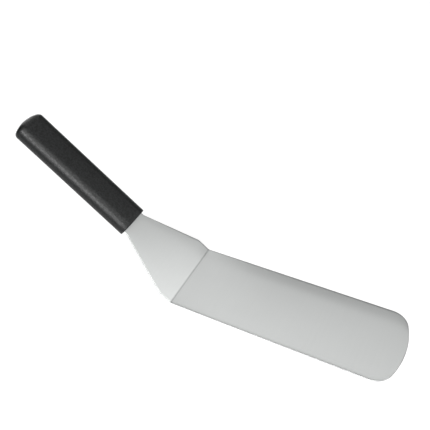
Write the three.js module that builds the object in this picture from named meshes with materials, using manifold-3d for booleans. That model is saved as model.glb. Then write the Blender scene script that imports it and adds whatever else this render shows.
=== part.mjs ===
// Offset spatula: a bent stainless-steel blade whose tang is held in a moulded plastic handle.
// Millimetres, +Z up. The blade lies flat on the XY plane and points along +X. Behind the bend the
// neck and the handle rise towards -X. The origin is the centre of the part's footprint.
import * as THREE from "three";
import { mergeVertices } from "three/addons/utils/BufferGeometryUtils.js";
import Module from "manifold-3d";

const wasm = await Module();
wasm.setup();

// Blade sheet
const SHEET = 1.2;
const BLADE_LENGTH = 207; // bend line to the tip
const BLADE_WIDTH = 75;
const TIP_PLAN = { corner: 17, crown: 9.6 }; // corner radius, and how far the tip's middle stands ahead

// Bend and neck, measured along the neck from the bend line
const BEND_ANGLE = THREE.MathUtils.degToRad(40);
const BEND_INNER_RADIUS = 1;
const HEEL_LENGTH = 14; // the neck keeps the blade's width this far
const FLARE_END = 72.6; // the neck has tapered to the tang's width here
const HEEL_RADIUS = 10; // rounds the outline where the flare starts
const FLARE_END_RADIUS = 4; // rounds the outline where the flare meets the tang

// Handle, measured along the same line
const HANDLE_START = 76;
const HANDLE_END = 211.9;
const HANDLE_WIDTH = 32.8;
const HANDLE_THICKNESS = 18.6;
const HANDLE_EDGE_RADIUS = 8.4;
const HANDLE_TILT = THREE.MathUtils.degToRad(1.2); // how much steeper than the neck it stands
const BUTT_PLAN = { corner: 4.1, crown: 4 }; // the butt's rounding seen from above
const BUTT_SIDE = { corner: 7.3, crown: 0.3 }; // and from the side

// Tang hidden in the handle
const TANG_WIDTH = 29;
const TANG_MOUTH_DEPTH = 6; // full-width stretch inside the handle's mouth
const TONGUE_WIDTH = 19;
const TONGUE_LENGTH = 98; // from the mouth stretch to the tongue's round end
const TONGUE_CORNER_RADIUS = 1;
const KEY_HOLE_RADIUS = 4.5;
const KEY_HOLE_COUNT = 3;
const KEY_HOLE_PITCH = 28;
const FIRST_KEY_HOLE = 26; // from the handle's mouth
const KEY_ROOT = 1; // how far a key's bar runs into the plastic above and below the tang
const FIT_GAP = 0.3; // clearance between the steel and the plastic

const CURVE_STEPS = 10;
const MARGIN = 6; // how far cutting solids run past what they cut

const halfBlade = BLADE_WIDTH / 2;
const sheetMiddle = -SHEET / 2; // depth of the sheet's mid-plane under the neck's top face

// Booleans -------------------------------------------------------------------------------------

function toSolid(geometry) {
  const bare = geometry.index ? geometry.toNonIndexed() : geometry.clone();
  bare.deleteAttribute("normal");
  bare.deleteAttribute("uv");
  const merged = mergeVertices(bare, 1e-4);
  return new wasm.Manifold(
    new wasm.Mesh({
      numProp: 3,
      vertProperties: merged.attributes.position.array,
      triVerts: new Uint32Array(merged.index.array),
    }),
  );
}

function toGeometry(solid) {
  const mesh = solid.getMesh();
  const geometry = new THREE.BufferGeometry();
  geometry.setAttribute(
    "position",
    new THREE.BufferAttribute(new Float32Array(mesh.vertProperties), 3),
  );
  geometry.setIndex(new THREE.BufferAttribute(new Uint32Array(mesh.triVerts), 1));
  geometry.computeVertexNormals();
  return geometry;
}

// Outlines -------------------------------------------------------------------------------------

// A closed outline from corners { at: [x, y], radius }, each rounded by an arc of its radius.
function roundedOutline(corners) {
  const shape = new THREE.Shape();
  corners.forEach(({ at, radius }, i) => {
    const corner = new THREE.Vector2(...at);
    const before = new THREE.Vector2(...corners.at(i - 1).at).sub(corner).normalize();
    const after = new THREE.Vector2(...corners[(i + 1) % corners.length].at).sub(corner).normalize();
    const halfAngle = Math.acos(THREE.MathUtils.clamp(before.dot(after), -1, 1)) / 2;
    const reach = radius / Math.tan(halfAngle);
    const start = corner.clone().addScaledVector(before, reach);
    if (i === 0) shape.moveTo(start.x, start.y);
    else shape.lineTo(start.x, start.y);
    if (radius === 0) return;
    const middle = before.clone().add(after).normalize();
    const centre = corner.clone().addScaledVector(middle, radius / Math.sin(halfAngle));
    const end = corner.clone().addScaledVector(after, reach);
    const from = start.sub(centre).angle();
    const to = end.sub(centre).angle();
    shape.absarc(centre.x, centre.y, radius, from, to, before.cross(after) > 0);
  });
  shape.closePath();
  return shape;
}

// Corners mirrored in the X axis, listed once round the outline.
function mirrored(corners) {
  const other = corners.map(({ at, radius }) => ({ at: [at[0], -at[1]], radius }));
  return [...corners, ...other.reverse()];
}

// A straight-sided outline with a square start and a crowned, round-cornered end.
function crownedOutline(start, end, half, { corner, crown }) {
  const crownRadius = (half ** 2 + crown ** 2) / (2 * crown);
  const crownX = end - crownRadius;
  const cornerY = half - corner;
  const cornerX = crownX + Math.sqrt((crownRadius - corner) ** 2 - cornerY ** 2);
  const meet = Math.atan2(cornerY, cornerX - crownX);
  const shape = new THREE.Shape();
  shape.moveTo(start, -half);
  shape.lineTo(cornerX, -half);
  shape.absarc(cornerX, -cornerY, corner, -Math.PI / 2, -meet, false);
  shape.absarc(crownX, 0, crownRadius, -meet, meet, false);
  shape.absarc(cornerX, cornerY, corner, meet, Math.PI / 2, false);
  shape.lineTo(start, half);
  shape.closePath();
  return shape;
}

// The flat outline of neck and tang, along the neck from the bend line. grow widens the tang all
// round, for the pocket that it lies in.
function neckOutline(start, grow = 0) {
  const mouthEnd = HANDLE_START + TANG_MOUTH_DEPTH + grow;
  const tongueEnd = mouthEnd + TONGUE_LENGTH;
  const tang = TANG_WIDTH / 2 + grow;
  const tongue = TONGUE_WIDTH / 2 + grow;
  return roundedOutline(
    mirrored([
      { at: [start, halfBlade], radius: 0 },
      { at: [HEEL_LENGTH, halfBlade], radius: HEEL_RADIUS },
      { at: [FLARE_END, tang], radius: FLARE_END_RADIUS },
      { at: [mouthEnd, tang], radius: TONGUE_CORNER_RADIUS },
      { at: [mouthEnd + tang - tongue, tongue], radius: TONGUE_CORNER_RADIUS },
      { at: [tongueEnd, tongue], radius: tongue - TONGUE_CORNER_RADIUS },
    ]),
  );
}

// The bent strip seen from the side, in X and Z, with the neck running on to its full length.
function stripProfile(neckLength) {
  const centreX = BEND_INNER_RADIUS * Math.tan(BEND_ANGLE / 2);
  const centreZ = SHEET + BEND_INNER_RADIUS;
  const down = -Math.PI / 2;
  const outer = BEND_INNER_RADIUS + SHEET;
  const top = new THREE.Vector2(
    -neckLength * Math.cos(BEND_ANGLE),
    SHEET + neckLength * Math.sin(BEND_ANGLE),
  );
  const through = new THREE.Vector2(-Math.sin(BEND_ANGLE), -Math.cos(BEND_ANGLE));
  const under = through.multiplyScalar(SHEET);
  const shape = new THREE.Shape();
  shape.moveTo(BLADE_LENGTH + MARGIN, SHEET);
  shape.lineTo(centreX, SHEET);
  shape.absarc(centreX, centreZ, BEND_INNER_RADIUS, down, down - BEND_ANGLE, true);
  shape.lineTo(top.x, top.y);
  shape.lineTo(top.x + under.x, top.y + under.y);
  shape.absarc(centreX, centreZ, outer, down - BEND_ANGLE, down, false);
  shape.lineTo(BLADE_LENGTH + MARGIN, 0);
  shape.closePath();
  return shape;
}

// Placing --------------------------------------------------------------------------------------

// Neck frame: x runs up the neck from the bend line, y across, z out of the neck's top face.
const neckFrame = new THREE.Matrix4().makeBasis(
  new THREE.Vector3(-Math.cos(BEND_ANGLE), 0, Math.sin(BEND_ANGLE)),
  new THREE.Vector3(0, -1, 0),
  new THREE.Vector3(Math.sin(BEND_ANGLE), 0, Math.cos(BEND_ANGLE)),
);
neckFrame.setPosition(0, 0, SHEET);

function prism(shape, low, high) {
  const geometry = new THREE.ExtrudeGeometry(shape, {
    depth: high - low,
    bevelEnabled: false,
    curveSegments: CURVE_STEPS,
  });
  return geometry.translate(0, 0, low);
}

// A solid whose outline is drawn in X and Z, and which runs across Y.
function crossPrism(shape, width) {
  return prism(shape, -width / 2, width / 2).rotateX(Math.PI / 2);
}

// Sub-parts ------------------------------------------------------------------------------------

// The plastic keys the tang through a row of round holes.
function keyPositions() {
  return Array.from(
    { length: KEY_HOLE_COUNT },
    (_, i) => HANDLE_START + FIRST_KEY_HOLE + i * KEY_HOLE_PITCH,
  );
}

// A round bar through the tang, in the neck frame.
function keyBar(position, radius, low, high) {
  const bar = new THREE.CylinderGeometry(radius, radius, high - low, 4 * CURVE_STEPS);
  return toSolid(bar.rotateX(Math.PI / 2).translate(position, 0, (low + high) / 2));
}

function makeBlade() {
  const neckLength = HANDLE_START + TANG_MOUTH_DEPTH + TONGUE_LENGTH;
  const strip = toSolid(crossPrism(stripProfile(neckLength + MARGIN), BLADE_WIDTH + MARGIN));
  const bladeOutline = crownedOutline(-MARGIN, BLADE_LENGTH, halfBlade, TIP_PLAN);
  const bladeTrim = toSolid(prism(bladeOutline, -MARGIN, MARGIN));
  const neckTrim = toSolid(prism(neckOutline(-MARGIN), -MARGIN, MARGIN).applyMatrix4(neckFrame));
  let blade = strip.intersect(bladeTrim.add(neckTrim));
  for (const position of keyPositions()) {
    const drill = keyBar(position, KEY_HOLE_RADIUS, -MARGIN, MARGIN);
    blade = blade.subtract(drill.transform(neckFrame.elements));
  }
  return toGeometry(blade);
}

// Turns the grip a little against the neck, about the middle of its mouth.
function tiltAboutMouth() {
  const toMouth = new THREE.Matrix4().makeTranslation(-HANDLE_START, 0, -sheetMiddle);
  const tilt = new THREE.Matrix4().makeRotationY(-HANDLE_TILT);
  const back = new THREE.Matrix4().makeTranslation(HANDLE_START, 0, sheetMiddle);
  return back.multiply(tilt).multiply(toMouth);
}

// The handle's grip in the neck frame: one cross-section, trimmed by its plan and its side view.
function makeGrip() {
  const halfWidth = HANDLE_WIDTH / 2;
  const halfThickness = HANDLE_THICKNESS / 2;
  const section = roundedOutline(
    mirrored([
      { at: [-halfThickness, halfWidth], radius: HANDLE_EDGE_RADIUS },
      { at: [halfThickness, halfWidth], radius: HANDLE_EDGE_RADIUS },
    ]),
  );
  const bar = prism(section, HANDLE_START, HANDLE_END + MARGIN)
    .rotateY(Math.PI / 2)
    .translate(0, 0, sheetMiddle);
  const front = HANDLE_START - MARGIN;
  const plan = prism(
    crownedOutline(front, HANDLE_END, halfWidth, BUTT_PLAN),
    -HANDLE_THICKNESS,
    HANDLE_THICKNESS,
  );
  const side = crossPrism(
    crownedOutline(front, HANDLE_END, halfThickness, BUTT_SIDE),
    HANDLE_WIDTH + MARGIN,
  ).translate(0, 0, sheetMiddle);
  const grip = toSolid(bar).intersect(toSolid(plan)).intersect(toSolid(side));
  return grip.transform(tiltAboutMouth().elements);
}

function makeHandle() {
  const pocket = toSolid(prism(neckOutline(0, FIT_GAP), -SHEET - FIT_GAP, FIT_GAP));
  const reach = FIT_GAP + KEY_ROOT;
  let handle = makeGrip().subtract(pocket);
  for (const position of keyPositions()) {
    handle = handle.add(keyBar(position, KEY_HOLE_RADIUS - FIT_GAP, -SHEET - reach, reach));
  }
  return toGeometry(handle.transform(neckFrame.elements));
}

// Assembly -------------------------------------------------------------------------------------

const steel = new THREE.MeshStandardMaterial({ color: 0xc6c8c7, roughness: 0.35, metalness: 1 });
const plastic = new THREE.MeshStandardMaterial({ color: 0x2c2e2e, roughness: 0.62, metalness: 0 });

function named(name, geometry, material) {
  const mesh = new THREE.Mesh(geometry, material);
  mesh.name = name;
  return mesh;
}

const spatula = new THREE.Group();
spatula.add(named("blade", makeBlade(), steel));
spatula.add(named("handle", makeHandle(), plastic));

const footprint = new THREE.Box3().setFromObject(spatula).getCenter(new THREE.Vector3());
spatula.position.set(-footprint.x, -footprint.y, 0);

export default spatula;
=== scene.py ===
import math

import bmesh
import bpy
from mathutils import Matrix, Vector


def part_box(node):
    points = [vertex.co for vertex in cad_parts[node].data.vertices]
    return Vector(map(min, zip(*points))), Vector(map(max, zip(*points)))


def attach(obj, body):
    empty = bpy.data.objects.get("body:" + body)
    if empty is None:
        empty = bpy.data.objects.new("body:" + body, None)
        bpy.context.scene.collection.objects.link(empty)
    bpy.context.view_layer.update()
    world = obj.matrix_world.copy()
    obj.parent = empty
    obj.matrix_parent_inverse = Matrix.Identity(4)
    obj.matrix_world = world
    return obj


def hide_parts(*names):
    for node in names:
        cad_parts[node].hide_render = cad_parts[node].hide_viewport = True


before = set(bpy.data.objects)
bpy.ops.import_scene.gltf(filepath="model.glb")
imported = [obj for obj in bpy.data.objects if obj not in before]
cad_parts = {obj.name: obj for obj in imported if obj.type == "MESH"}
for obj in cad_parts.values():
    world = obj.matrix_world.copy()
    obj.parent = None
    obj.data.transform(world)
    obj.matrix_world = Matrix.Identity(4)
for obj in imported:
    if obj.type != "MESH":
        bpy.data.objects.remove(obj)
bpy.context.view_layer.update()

MM = 0.001

# Sizes that the blade and the handle share with the CAD part ----------------------------------

SHEET = 1.2 * MM
BLADE_LENGTH = 207 * MM
TIP_CORNER = 17 * MM
TIP_CROWN = 9.6 * MM

BEND_ANGLE = math.radians(40)
BEND_INNER_RADIUS = 1.0 * MM
HEEL_LENGTH = 14 * MM
HEEL_RADIUS = 10 * MM
FLARE_END = 72.6 * MM
FLARE_END_RADIUS = 4 * MM

HANDLE_START = 76 * MM
HANDLE_LENGTH = 135.9 * MM
HANDLE_WIDTH = 32.8 * MM
HANDLE_THICKNESS = 18.6 * MM
HANDLE_EDGE_RADIUS = 8.4 * MM
HANDLE_TILT = math.radians(1.2)
BUTT_PLAN = (4.1 * MM, 4 * MM)  # corner radius and crown, seen from above
BUTT_SIDE = (7.3 * MM, 0.3 * MM)  # and from the side

TANG_WIDTH = 29 * MM
TANG_MOUTH_DEPTH = 6 * MM
TONGUE_WIDTH = 19 * MM
TONGUE_LENGTH = 98 * MM
TONGUE_CORNER = 1 * MM
KEY_HOLE_RADIUS = 4.5 * MM
KEY_HOLE_COUNT = 3
KEY_HOLE_PITCH = 28 * MM
FIRST_KEY_HOLE = 26 * MM
FIT_GAP = 0.3 * MM
DRILL_REACH = 3 * SHEET  # well past both faces of the sheet

# Shape detail that only the visual model has --------------------------------------------------

SHEET_EDGE_RADIUS = 0.32 * MM
GROUND_SLOPE = 0.029  # the blade's top face slopes down this much along its ground edges
GROUND_START = 0.53  # share of the half-width where the grinding starts
GROUND_FULL = 0.83  # and where it has its full slope
NECK_GROUND = 0.3  # share of that slope on the neck
SECTION_CROWN = 0.45 * MM  # the handle's top and bottom bulge this much
FRONT_EDGE_RADIUS = 0.7 * MM
PARTING_RIDGE = 0.05 * MM
PARTING_HALF_WIDTH = 0.18 * MM

# How fine the meshes are ----------------------------------------------------------------------

ROW_SPACING = 3.5 * MM  # along the sheet
RING_SPACING = 7 * MM  # along the straight part of the grip
COLUMNS = 36  # across the sheet
BEND_ROWS = 10
BEND_SUPPORT = 0.5 * MM  # flat row just outside the bend, which keeps its shading off the flats
SHEET_EDGE_ANGLES = (30, 60, 90)  # steps round the sheet's edge, in degrees
FRONT_EDGE_ANGLES = (0, 22.5, 45, 67.5, 90)  # and round the handle's mouth
ARC_STEPS = 8
END_STEPS = 12
BUTT_STEPS = 24
BUTT_RINGS = 28
KEY_HOLE_SIDES = 40
FLOOR_SIDES = 96

# Looks: colours are linear, and noise scales are cells per metre -------------------------------

STEEL_DARKER = (0.574, 0.586, 0.58)
STEEL_PALER = (0.588, 0.6, 0.593)
STEEL_MOTTLE = (0.35, 0.65)  # range of the noise that runs from the darker to the paler steel
STEEL_CLOUD_SCALE = 28
STREAK_SCALES = (420, 9, 1)  # along the sheet and across it, so that the streaks run across
HAIR_SCALES = (5200, 55, 1)
STEEL_ROUGHNESS = (0.29, 0.35)  # from hair to hair
STREAK_ROUGHNESS = 0.006  # the streaks take away or add this much
STEEL_ANISOTROPY = 0.5
GRAIN_DEPTH = 0.0003 * MM  # of the hairs
BEND_SHADE_SPAN = (0.25 * MM, 1.2 * MM)  # the painted shade along the bend fades from one to the other
# Painted shade: the steel's colour is darker along the crease of the bend.
BEND_SHADE_COLOUR = (0.44, 0.45, 0.445)

PLASTIC_DARKER = (0.0, 0.0002, 0.0002)
PLASTIC_PALER = (0.0095, 0.0106, 0.0107)
PLASTIC_SPECULAR = 0.35
PLASTIC_ROUGHNESS = (0.29, 0.37)  # over the finest grain
PEBBLE_SCALE = 1300
PEBBLE_DEPTH = 0.03 * MM
PEBBLE_STRENGTH = 0.7
SPECKLE_SCALE = 620
SPECKLE_RANGE = (0.42, 0.58)  # range of the noise that runs from the darker to the paler specks
SPECKLE_ROUGHNESS = (0.07, -0.04)  # what the darker and the paler specks add
SPECKLE_DEPTH = 0.06 * MM
SPECKLE_STRENGTH = 0.9
FINE_SCALE = 2600
FINE_DEPTH = 0.012 * MM
FINE_STRENGTH = 0.6

# Floor, lights and camera: metres, degrees and radiances ---------------------------------------

FLOOR_RADIUS = 1.45  # the floor ends just inside the ring of lights
FLOOR_GAP = 0.05 * MM  # keeps the floor off the blade's underside
FLOOR_GLOW = 0.76  # a light table: it is lit from below, which hides the shadows
FLOOR_REFLECTED_GLOW = 0.42  # dimmer in reflections, so that the steel stands out from it
FLOOR_DARKER = (0.29, 0.29, 0.29)
FLOOR_PALER = (0.31, 0.31, 0.31)
FLOOR_CLOUD_SCALE = 3
FLOOR_ROUGHNESS = 0.9
FLOOR_SPECULAR = 0.1

SOFTBOX_DISTANCE = 1.5
SOFTBOXES = (  # name, azimuth, elevation, width, height, radiance
    ("key_low", -77, 13, 0.9, 0.6, 5.8),
    ("key_high", -77, 36, 0.9, 0.6, 8.8),
    ("front_top", -62, 62, 0.9, 0.6, 3.2),
    ("front_right", -8, 50, 0.9, 0.5, 3.3),
    ("right_low", 40, 12, 0.7, 0.6, 0.9),
    ("right", 25, 34, 0.9, 0.6, 1.5),
    ("right_top", 42, 58, 0.7, 0.6, 0.5),
    ("left_low", 141, 12, 0.8, 0.6, 2.7),
    ("left", 140, 34, 0.9, 0.6, 1.0),
    ("back_top", 110, 60, 1.3, 0.6, 1.0),
)
WORLD_RADIANCE = 0.2
BACKDROP_RADIANCE = 1.0  # the plain white surroundings that the camera sees

CAMERA_LENS = 46.05  # with the sensor's width, in millimetres
CAMERA_SENSOR = 36
CAMERA_AZIMUTH = -52.78
CAMERA_ELEVATION = 47.96
CAMERA_DISTANCE = 0.5407  # from the middle of the bend
CAMERA_AIM = Vector((-0.0189, 0.0854, 0))  # what it looks at, from the middle of the bend
CAMERA_ROLL = math.radians(-6.3)

# Places, all from the frame -------------------------------------------------------------------

blade_low, blade_high = (Vector(corner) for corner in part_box("blade"))
BEND_X = blade_high.x - BLADE_LENGTH
HALF_BLADE = blade_high.y
UP_NECK = Vector((-math.cos(BEND_ANGLE), 0, math.sin(BEND_ANGLE)))
NECK_NORMAL = Vector((math.sin(BEND_ANGLE), 0, math.cos(BEND_ANGLE)))
BEND_LINE = Vector((BEND_X, 0, SHEET))
BEND_REACH = BEND_INNER_RADIUS * math.tan(BEND_ANGLE / 2)  # how far the bend spreads on each side


# Curves ---------------------------------------------------------------------------------------

def arc(centre, radius, start, end, steps):
    """Points from angle start to angle end about a 2D centre."""
    angles = [start + (end - start) * i / steps for i in range(steps + 1)]
    return [(centre[0] + radius * math.cos(a), centre[1] + radius * math.sin(a)) for a in angles]


def rounded_path(corners):
    """An open path through corners (x, y, radius), each rounded by an arc."""
    points = [corners[0][:2]]
    for before, corner, after in zip(corners, corners[1:], corners[2:]):
        at = Vector(corner[:2])
        back = (Vector(before[:2]) - at).normalized()
        ahead = (Vector(after[:2]) - at).normalized()
        half = back.angle(ahead) / 2
        reach = corner[2] / math.tan(half)
        start = at + back * reach
        end = at + ahead * reach
        centre = at + (back + ahead).normalized() * corner[2] / math.sin(half)
        sweep = (start - centre).angle_signed(end - centre)
        first = math.atan2(start.y - centre.y, start.x - centre.x)
        points += arc(centre, corner[2], first, first - sweep, ARC_STEPS)
    return points + [corners[-1][:2]]


def crowned_end(half, corner, crown, steps=END_STEPS):
    """The half-outline of a straight-sided, round-cornered, crowned end whose tip is at x = 0.

    Returns the points (x, y) from the straight side to the middle, and the crown's radius.
    """
    crown_radius = (half**2 + crown**2) / (2 * crown)
    corner_y = half - corner
    corner_x = -crown_radius + math.sqrt((crown_radius - corner) ** 2 - corner_y**2)
    meet = math.atan2(corner_y, corner_x + crown_radius)
    points = arc((corner_x, corner_y), corner, math.pi / 2, meet, steps)
    points += arc((-crown_radius, 0), crown_radius, meet, 0, steps)[1:]
    return points, crown_radius


def fill_in(points, spacing):
    """Adds points along the straight stretches, so that no step is longer than spacing."""
    filled = [Vector(points[0])]
    for point in map(Vector, points[1:]):
        start = filled[-1]
        pieces = max(1, math.ceil((point - start).length / spacing))
        filled += [start.lerp(point, i / pieces) for i in range(1, pieces + 1)]
    return filled


# Meshes ---------------------------------------------------------------------------------------

def make_object(name, bm, smooth=True):
    mesh = bpy.data.meshes.new(name)
    bmesh.ops.recalc_face_normals(bm, faces=bm.faces)
    for face in bm.faces:
        face.smooth = smooth
    bm.to_mesh(mesh)
    bm.free()
    piece = bpy.data.objects.new(name, mesh)
    bpy.context.scene.collection.objects.link(piece)
    return piece


def bake_modifiers(piece):
    """Puts the piece's modifiers into its mesh."""
    graph = bpy.context.evaluated_depsgraph_get()
    mesh = bpy.data.meshes.new_from_object(piece.evaluated_get(graph), depsgraph=graph)
    piece.modifiers.clear()
    piece.data = mesh


def cut(piece, cutter):
    """Takes the cutter's shape out of the piece, and deletes the cutter."""
    boolean = piece.modifiers.new("cut", "BOOLEAN")
    boolean.object = cutter
    boolean.solver = "EXACT"
    bake_modifiers(piece)
    bpy.data.objects.remove(cutter)


def neck_matrix():
    """From neck coordinates (along the neck, across, out of its top face) to the frame."""
    across = NECK_NORMAL.cross(UP_NECK)
    return Matrix((
        (UP_NECK.x, across.x, NECK_NORMAL.x, BEND_LINE.x),
        (UP_NECK.y, across.y, NECK_NORMAL.y, BEND_LINE.y),
        (UP_NECK.z, across.z, NECK_NORMAL.z, BEND_LINE.z),
        (0, 0, 0, 1),
    ))


# The blade ------------------------------------------------------------------------------------

def neck_side(grow=0.0):
    """One side of the neck and tang, from the tongue's end to the bend: (along, half-width)."""
    mouth_end = HANDLE_START + TANG_MOUTH_DEPTH + grow
    tang = TANG_WIDTH / 2 + grow
    tongue = TONGUE_WIDTH / 2 + grow
    end = mouth_end + TONGUE_LENGTH
    return rounded_path([
        (end, 0, 0),
        (end, tongue, tongue - TONGUE_CORNER),
        (mouth_end + tang - tongue, tongue, TONGUE_CORNER),
        (mouth_end, tang, TONGUE_CORNER),
        (FLARE_END, tang, FLARE_END_RADIUS),
        (HEEL_LENGTH, HALF_BLADE, HEEL_RADIUS),
        (0, HALF_BLADE, 0),
    ])


def sheet_side():
    """One side of the flat sheet as (u, half-width): u < 0 up the neck, u > 0 down the blade."""
    side = [(-along, half) for along, half in neck_side()[:-1]]
    side += [(-BEND_REACH - BEND_SUPPORT, HALF_BLADE)]
    side += [(BEND_REACH * (2 * i / BEND_ROWS - 1), HALF_BLADE) for i in range(BEND_ROWS + 1)]
    side += [(BEND_REACH + BEND_SUPPORT, HALF_BLADE)]
    tip, _ = crowned_end(HALF_BLADE, TIP_CORNER, TIP_CROWN)
    corner_points = len(tip) // 2 + 1
    side += [(BLADE_LENGTH + x, y) for x, y in tip[:corner_points]]
    return fill_in(side, ROW_SPACING)[1:]


def outward_normals(loop):
    """The outward normal at each point of a closed 2D loop, listed clockwise or not."""
    area = sum(a.cross(b) for a, b in zip(loop, loop[1:] + loop[:1]))
    normals = []
    for i, point in enumerate(loop):
        ahead = loop[(i + 1) % len(loop)] - point
        behind = point - loop[i - 1]
        along = ahead.normalized() + behind.normalized()
        out = Vector((along.y, -along.x)).normalized()
        normals.append(out if area > 0 else -out)
    return normals


def bend(u, v, w):
    """Where a point of the flat sheet ends up: u along it, v across it, w up from its underside."""
    if u >= BEND_REACH:
        return Vector((BEND_X + u, v, w))
    if u <= -BEND_REACH:
        return BEND_LINE + UP_NECK * -u + Vector((0, v, 0)) + NECK_NORMAL * (w - SHEET)
    angle = BEND_ANGLE * (BEND_REACH - u) / (2 * BEND_REACH)
    radius = BEND_INNER_RADIUS + SHEET - w
    x = BEND_X + BEND_REACH - radius * math.sin(angle)
    z = SHEET + BEND_INNER_RADIUS - radius * math.cos(angle)
    return Vector((x, v, z))


def ground_drop(across):
    """How far the ground top face lies below the flat. Both are shares of the half-width."""
    span = GROUND_FULL - GROUND_START
    t = min(1.0, max(0.0, (across - GROUND_START) / span))
    return GROUND_SLOPE * (span * (t**3 - t**4 / 2) + max(0.0, across - GROUND_FULL))


def sheet_rows():
    """Rows of flat points (u, v, drop of the top face), from the tongue's end to the tip."""
    _, crown_radius = crowned_end(HALF_BLADE, TIP_CORNER, TIP_CROWN)
    side = sheet_side()
    last = side[-1].x
    rows = []
    for u, half in side:
        bow = max(0.0, u / last) ** 2  # the rows take on the tip's curve little by little
        ground = 1 + (NECK_GROUND - 1) * min(1.0, max(0.0, -u / HEEL_LENGTH))
        row = []
        for i in range(COLUMNS + 1):
            across = 2 * i / COLUMNS - 1
            v = half * across
            ahead = math.sqrt(crown_radius**2 - v**2) - math.sqrt(crown_radius**2 - half**2)
            drop = ground * half * ground_drop(abs(across))
            row.append(Vector((u + bow * ahead, v, drop)))
        rows.append(row)
    return rows


def rim_of(rows):
    """Indices (row, column) once round the grid's edge."""
    last_row = len(rows) - 1
    rim = [(0, c) for c in range(COLUMNS)]
    rim += [(r, COLUMNS) for r in range(last_row)]
    rim += [(last_row, c) for c in range(COLUMNS, 0, -1)]
    rim += [(r, 0) for r in range(last_row, 0, -1)]
    return rim


def make_blade():
    bm = bmesh.new()
    uv_layer = bm.loops.layers.uv.new("grain")
    rows = sheet_rows()
    rim = rim_of(rows)
    outline = [rows[r][c].xy for r, c in rim]
    drops = [rows[r][c].z for r, c in rim]
    normals = outward_normals(outline)
    inset = {
        key: point - normal * SHEET_EDGE_RADIUS
        for key, point, normal in zip(rim, outline, normals)
    }
    flat_places = {}

    def add(u, v, w):
        vert = bm.verts.new(bend(u, v, w))
        flat_places[vert] = (u, v)
        return vert

    def add_face_grid(is_top):
        grid = []
        for r, row in enumerate(rows):
            line = []
            for c, point in enumerate(row):
                place = inset.get((r, c), point)
                line.append(add(place.x, place.y, SHEET - point.z if is_top else 0.0))
            grid.append(line)
        for near, far in zip(grid, grid[1:]):
            for c in range(COLUMNS):
                bm.faces.new((near[c], near[c + 1], far[c + 1], far[c]))
        return [grid[r][c] for r, c in rim]

    def add_edge_ring(angle, is_top):
        ring = []
        for point, normal, drop in zip(outline, normals, drops):
            place = point - normal * SHEET_EDGE_RADIUS * (1 - math.sin(angle))
            inward = SHEET_EDGE_RADIUS * (1 - math.cos(angle))
            ring.append(add(place.x, place.y, SHEET - drop - inward if is_top else inward))
        return ring

    angles = [math.radians(angle) for angle in SHEET_EDGE_ANGLES]
    rings = [add_face_grid(True)]
    rings += [add_edge_ring(angle, True) for angle in angles]
    rings += [add_edge_ring(angle, False) for angle in reversed(angles)]
    rings.append(add_face_grid(False))
    for upper, lower in zip(rings, rings[1:]):
        for i in range(len(rim)):
            j = (i + 1) % len(rim)
            bm.faces.new((upper[i], upper[j], lower[j], lower[i]))
    for face in bm.faces:
        for loop in face.loops:
            loop[uv_layer].uv = flat_places[loop.vert]
    return make_object("blade_sheet", bm)


def key_positions():
    return [HANDLE_START + FIRST_KEY_HOLE + i * KEY_HOLE_PITCH for i in range(KEY_HOLE_COUNT)]


def drill_key_holes(piece, radius, low, high):
    """Drills the row of round holes, square to the neck."""
    for position in key_positions():
        bm = bmesh.new()
        place = neck_matrix() @ Matrix.Translation((position, 0, (low + high) / 2))
        bmesh.ops.create_cone(
            bm,
            cap_ends=True,
            segments=KEY_HOLE_SIDES,
            radius1=radius,
            radius2=radius,
            depth=high - low,
            matrix=place,
        )
        cut(piece, make_object("drill", bm, smooth=False))


# The handle -----------------------------------------------------------------------------------

def handle_section():
    """The grip's cross-section, as (across, out) points once round, with its parting ridge."""
    half = HANDLE_WIDTH / 2
    deep = HANDLE_THICKNESS / 2
    end, _ = crowned_end(half, HANDLE_EDGE_RADIUS, SECTION_CROWN)
    quarter = [(y, deep + x) for x, y in end]
    quarter = [(half + PARTING_RIDGE, 0.0), (half, PARTING_HALF_WIDTH)] + quarter
    upper = quarter + [(-y, z) for y, z in reversed(quarter[:-1])]
    return upper + [(y, -z) for y, z in reversed(upper[1:-1])]


def butt_scale(half, rounding):
    """How the grip narrows towards its butt: (distance from the butt's end, scale) pairs."""
    points, _ = crowned_end(half, *rounding, steps=BUTT_STEPS)
    return [(-x, y / half) for x, y in points]


def scale_at(profile, distance):
    """Reads a (distance, scale) profile, which runs towards the butt. Before it, the scale is 1."""
    for (far, big), (near, small) in zip(profile, profile[1:]):
        if near <= distance <= far:
            return small + (big - small) * (distance - near) / (far - near)
    return 1.0


def grip_rings():
    """(distance along, scale across, scale out) for each ring of the grip, from mouth to butt."""
    half = HANDLE_WIDTH / 2
    deep = HANDLE_THICKNESS / 2
    rings = []
    for angle in map(math.radians, FRONT_EDGE_ANGLES):
        inset = FRONT_EDGE_RADIUS * (1 - math.sin(angle))
        along = FRONT_EDGE_RADIUS * (1 - math.cos(angle))
        rings.append((along, 1 - inset / half, 1 - inset / deep))
    plan = butt_scale(half, BUTT_PLAN)
    side = butt_scale(deep, BUTT_SIDE)
    butt_length = max(plan[0][0], side[0][0])
    straight = HANDLE_LENGTH - butt_length - FRONT_EDGE_RADIUS
    steps = math.ceil(straight / RING_SPACING)
    rings += [(FRONT_EDGE_RADIUS + straight * i / steps, 1, 1) for i in range(1, steps)]
    for i in range(BUTT_RINGS):
        distance = butt_length * (1 - math.sin(math.pi / 2 * i / BUTT_RINGS))
        rings.append((HANDLE_LENGTH - distance, scale_at(plan, distance), scale_at(side, distance)))
    return rings


def grip_matrix():
    """From grip coordinates (along, across, out; 0 at the middle of its mouth) to the frame."""
    mouth = Matrix.Translation((HANDLE_START, 0, -SHEET / 2))
    return neck_matrix() @ mouth @ Matrix.Rotation(-HANDLE_TILT, 4, "Y")


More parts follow.
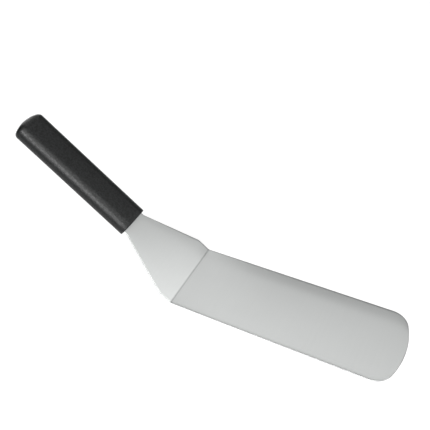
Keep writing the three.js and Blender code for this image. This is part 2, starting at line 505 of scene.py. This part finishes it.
def make_handle():
    bm = bmesh.new()
    place = grip_matrix()
    section = handle_section()
    rings = []
    for along, across, out in grip_rings():
        points = [place @ Vector((along, y * across, z * out)) for y, z in section]
        rings.append([bm.verts.new(point) for point in points])
    for near, far in zip(rings, rings[1:]):
        for i in range(len(section)):
            j = (i + 1) % len(section)
            bm.faces.new((near[i], near[j], far[j], far[i]))
    bm.faces.new(rings[0])
    pole = bm.verts.new(place @ Vector((HANDLE_LENGTH, 0, 0)))
    for i in range(len(section)):
        bm.faces.new((rings[-1][i], rings[-1][(i + 1) % len(section)], pole))
    handle = make_object("handle_grip", bm)
    cut(handle, tang_pocket())
    return handle


def tang_pocket():
    """The slot that the tang lies in, open at the mouth and crossed by the plastic's keys."""
    bm = bmesh.new()
    side = [Vector(point) for point in neck_side(FIT_GAP)[1:-3]]
    outline = [(p.x, p.y) for p in side] + [(p.x, -p.y) for p in reversed(side)]
    low = [bm.verts.new(neck_matrix() @ Vector((x, y, -SHEET - FIT_GAP))) for x, y in outline]
    top = [bm.verts.new(neck_matrix() @ Vector((x, y, FIT_GAP))) for x, y in outline]
    bm.faces.new(low)
    bm.faces.new(reversed(top))
    for i in range(len(outline)):
        j = (i + 1) % len(outline)
        bm.faces.new((low[i], low[j], top[j], top[i]))
    pocket = make_object("pocket", bm, smooth=False)
    reach = FIT_GAP + SHEET
    drill_key_holes(pocket, KEY_HOLE_RADIUS - FIT_GAP, -SHEET - reach, reach)
    return pocket


# Materials ------------------------------------------------------------------------------------

def new_material(name):
    material = bpy.data.materials.new(name)
    material.use_nodes = True
    tree = material.node_tree
    return material, tree, tree.nodes["Principled BSDF"]


def noise(tree, vector, scale, detail=2.0, roughness=0.5):
    node = tree.nodes.new("ShaderNodeTexNoise")
    node.inputs["Scale"].default_value = scale
    node.inputs["Detail"].default_value = detail
    node.inputs["Roughness"].default_value = roughness
    tree.links.new(vector, node.inputs["Vector"])
    return node.outputs["Fac"]


def stretched(tree, vector, scales):
    node = tree.nodes.new("ShaderNodeMapping")
    node.inputs["Scale"].default_value = scales
    tree.links.new(vector, node.inputs["Vector"])
    return node.outputs["Vector"]


def ranged(tree, value, low, high, from_low=0.0, from_high=1.0):
    node = tree.nodes.new("ShaderNodeMapRange")
    node.inputs["From Min"].default_value = from_low
    node.inputs["From Max"].default_value = from_high
    node.inputs["To Min"].default_value = low
    node.inputs["To Max"].default_value = high
    tree.links.new(value, node.inputs["Value"])
    return node.outputs["Result"]


def maths(tree, operation, first, second=None):
    node = tree.nodes.new("ShaderNodeMath")
    node.operation = operation
    for socket, value in zip(node.inputs, (first, second)):
        if isinstance(value, (int, float)):
            socket.default_value = value
        elif value is not None:
            tree.links.new(value, socket)
    return node.outputs["Value"]


def blended(tree, factor, first, second):
    """Blends two colours. The first may also be another node's colour."""
    node = tree.nodes.new("ShaderNodeMix")
    node.data_type = "RGBA"
    if isinstance(first, tuple):
        node.inputs["A"].default_value = (*first, 1)
    else:
        tree.links.new(first, node.inputs["A"])
    node.inputs["B"].default_value = (*second, 1)
    tree.links.new(factor, node.inputs["Factor"])
    return node.outputs["Result"]


def seen_or_not(tree, seen, unseen):
    """One value where the camera sees the surface itself, and another where it lights others."""
    direct = tree.nodes.new("ShaderNodeLightPath").outputs["Is Camera Ray"]
    return ranged(tree, direct, unseen, seen)


def bumped(tree, height, distance, strength=1.0, under=None):
    node = tree.nodes.new("ShaderNodeBump")
    node.inputs["Distance"].default_value = distance
    node.inputs["Strength"].default_value = strength
    tree.links.new(height, node.inputs["Height"])
    if under is not None:
        tree.links.new(under, node.inputs["Normal"])
    return node.outputs["Normal"]


def painted_bend_shade(tree, flat):
    """1 at the middle of the bend, and 0 beyond the painted shade along it."""
    along = tree.nodes.new("ShaderNodeSeparateXYZ")
    tree.links.new(flat, along.inputs["Vector"])
    from_bend = maths(tree, "ABSOLUTE", along.outputs["X"])
    return ranged(tree, from_bend, 1.0, 0.0, *BEND_SHADE_SPAN)


def steel_material():
    """Satin stainless steel, belt-ground across. Its UV map is the flat sheet in metres."""
    material, tree, shader = new_material("satin_steel")
    flat = tree.nodes.new("ShaderNodeUVMap")
    flat.uv_map = "grain"
    flat = flat.outputs["UV"]
    hairs = noise(tree, stretched(tree, flat, HAIR_SCALES), 1, detail=3)
    streaks = noise(tree, stretched(tree, flat, STREAK_SCALES), 1, detail=4)
    clouds = noise(tree, flat, STEEL_CLOUD_SCALE, detail=4)
    mottle = maths(tree, "MULTIPLY", maths(tree, "ADD", streaks, clouds), 0.5)
    plain = blended(tree, ranged(tree, mottle, 0.0, 1.0, *STEEL_MOTTLE), STEEL_DARKER, STEEL_PALER)
    # Painted shade: the steel's colour darkens along the crease of the bend.
    bend_shaded = blended(tree, painted_bend_shade(tree, flat), plain, BEND_SHADE_COLOUR)
    tree.links.new(bend_shaded, shader.inputs["Base Color"])
    uneven = ranged(tree, streaks, -STREAK_ROUGHNESS, STREAK_ROUGHNESS)
    rough = maths(tree, "ADD", ranged(tree, hairs, *STEEL_ROUGHNESS), uneven)
    tree.links.new(rough, shader.inputs["Roughness"])
    tree.links.new(bumped(tree, hairs, GRAIN_DEPTH), shader.inputs["Normal"])
    shader.inputs["Metallic"].default_value = 1
    shader.inputs["Anisotropic"].default_value = STEEL_ANISOTROPY
    tangent = tree.nodes.new("ShaderNodeTangent")
    tangent.direction_type = "UV_MAP"
    tangent.uv_map = "grain"
    tree.links.new(tangent.outputs["Tangent"], shader.inputs["Tangent"])
    return material


def plastic_material():
    """Charcoal polypropylene with the fine pebbled grain of a spark-eroded mould."""
    material, tree, shader = new_material("grained_plastic")
    coords = tree.nodes.new("ShaderNodeTexCoord").outputs["Object"]
    pebbles = tree.nodes.new("ShaderNodeTexVoronoi")
    pebbles.feature = "SMOOTH_F1"
    pebbles.inputs["Scale"].default_value = PEBBLE_SCALE
    tree.links.new(coords, pebbles.inputs["Vector"])
    fine = noise(tree, coords, FINE_SCALE, detail=2)
    speckle = noise(tree, coords, SPECKLE_SCALE, detail=3, roughness=0.7)
    speckle = ranged(tree, speckle, 0.0, 1.0, *SPECKLE_RANGE)
    colour = blended(tree, speckle, PLASTIC_DARKER, PLASTIC_PALER)
    tree.links.new(colour, shader.inputs["Base Color"])
    uneven = ranged(tree, speckle, *SPECKLE_ROUGHNESS)
    rough = maths(tree, "ADD", ranged(tree, fine, *PLASTIC_ROUGHNESS), uneven)
    tree.links.new(rough, shader.inputs["Roughness"])
    grain = bumped(tree, pebbles.outputs["Distance"], PEBBLE_DEPTH, PEBBLE_STRENGTH)
    grain = bumped(tree, speckle, SPECKLE_DEPTH, SPECKLE_STRENGTH, under=grain)
    grain = bumped(tree, fine, FINE_DEPTH, FINE_STRENGTH, under=grain)
    tree.links.new(grain, shader.inputs["Normal"])
    shader.inputs["Specular IOR Level"].default_value = PLASTIC_SPECULAR
    return material


def floor_material():
    material, tree, shader = new_material("pale_floor")
    coords = tree.nodes.new("ShaderNodeTexCoord").outputs["Object"]
    cloud = noise(tree, coords, FLOOR_CLOUD_SCALE)
    colour = blended(tree, cloud, FLOOR_DARKER, FLOOR_PALER)
    tree.links.new(colour, shader.inputs["Base Color"])
    shader.inputs["Roughness"].default_value = FLOOR_ROUGHNESS
    shader.inputs["Specular IOR Level"].default_value = FLOOR_SPECULAR
    shader.inputs["Emission Color"].default_value = (1, 1, 1, 1)
    glow = seen_or_not(tree, FLOOR_GLOW, FLOOR_REFLECTED_GLOW)
    tree.links.new(glow, shader.inputs["Emission Strength"])
    return material


# Stage ----------------------------------------------------------------------------------------

def make_floor():
    bm = bmesh.new()
    place = Matrix.Translation((0, 0, -FLOOR_GAP))
    bmesh.ops.create_circle(
        bm, cap_ends=True, segments=FLOOR_SIDES, radius=FLOOR_RADIUS, matrix=place,
    )
    floor = make_object("floor", bm, smooth=False)
    floor.data.materials.append(floor_material())


def direction(azimuth, elevation):
    """A unit vector: azimuth 0 is +X and 90 is +Y, in degrees."""
    azimuth, elevation = math.radians(azimuth), math.radians(elevation)
    flat = math.cos(elevation)
    return Vector((flat * math.cos(azimuth), flat * math.sin(azimuth), math.sin(elevation)))


def softbox(name, azimuth, elevation, width, height, radiance):
    """A rectangular area light that faces the object. Its power follows from its radiance."""
    light = bpy.data.lights.new(name, "AREA")
    light.shape = "RECTANGLE"
    light.size = width
    light.size_y = height
    light.energy = radiance * math.pi * width * height
    lamp = bpy.data.objects.new(name, light)
    place = direction(azimuth, elevation) * SOFTBOX_DISTANCE
    lamp.location = place
    lamp.rotation_euler = (-place).to_track_quat("-Z", "Y").to_euler()
    bpy.context.scene.collection.objects.link(lamp)


def make_lights():
    """The softboxes, and a world that is dim as a light but plain white to the camera."""
    for facts in SOFTBOXES:
        softbox(*facts)
    world = bpy.data.worlds.new("studio")
    world.use_nodes = True
    tree = world.node_tree
    background = tree.nodes["Background"]
    background.inputs["Color"].default_value = (1, 1, 1, 1)
    strength = seen_or_not(tree, BACKDROP_RADIANCE, WORLD_RADIANCE)
    tree.links.new(strength, background.inputs["Strength"])
    bpy.context.scene.world = world


def make_camera():
    """Looks down on the blade from its near side, a little from its tip's end."""
    camera_data = bpy.data.cameras.new("camera")
    camera_data.sensor_width = CAMERA_SENSOR
    camera_data.lens = CAMERA_LENS
    camera = bpy.data.objects.new("camera", camera_data)
    place = BEND_LINE + direction(CAMERA_AZIMUTH, CAMERA_ELEVATION) * CAMERA_DISTANCE
    look = BEND_LINE + CAMERA_AIM - place
    turn = look.to_track_quat("-Z", "Y").to_matrix() @ Matrix.Rotation(CAMERA_ROLL, 3, "Z")
    camera.matrix_world = Matrix.Translation(place) @ turn.to_4x4()
    bpy.context.scene.collection.objects.link(camera)
    bpy.context.scene.camera = camera


# Assembly -------------------------------------------------------------------------------------

def place_piece(piece, node, material):
    piece.data.materials.clear()
    piece.data.materials.append(material)
    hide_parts(node)
    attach(piece, "root")


blade = make_blade()
drill_key_holes(blade, KEY_HOLE_RADIUS, -DRILL_REACH, DRILL_REACH)
place_piece(blade, "blade", steel_material())
place_piece(make_handle(), "handle", plastic_material())
make_floor()
make_lights()
make_camera()
bpy.context.scene.view_settings.view_transform = "Standard"
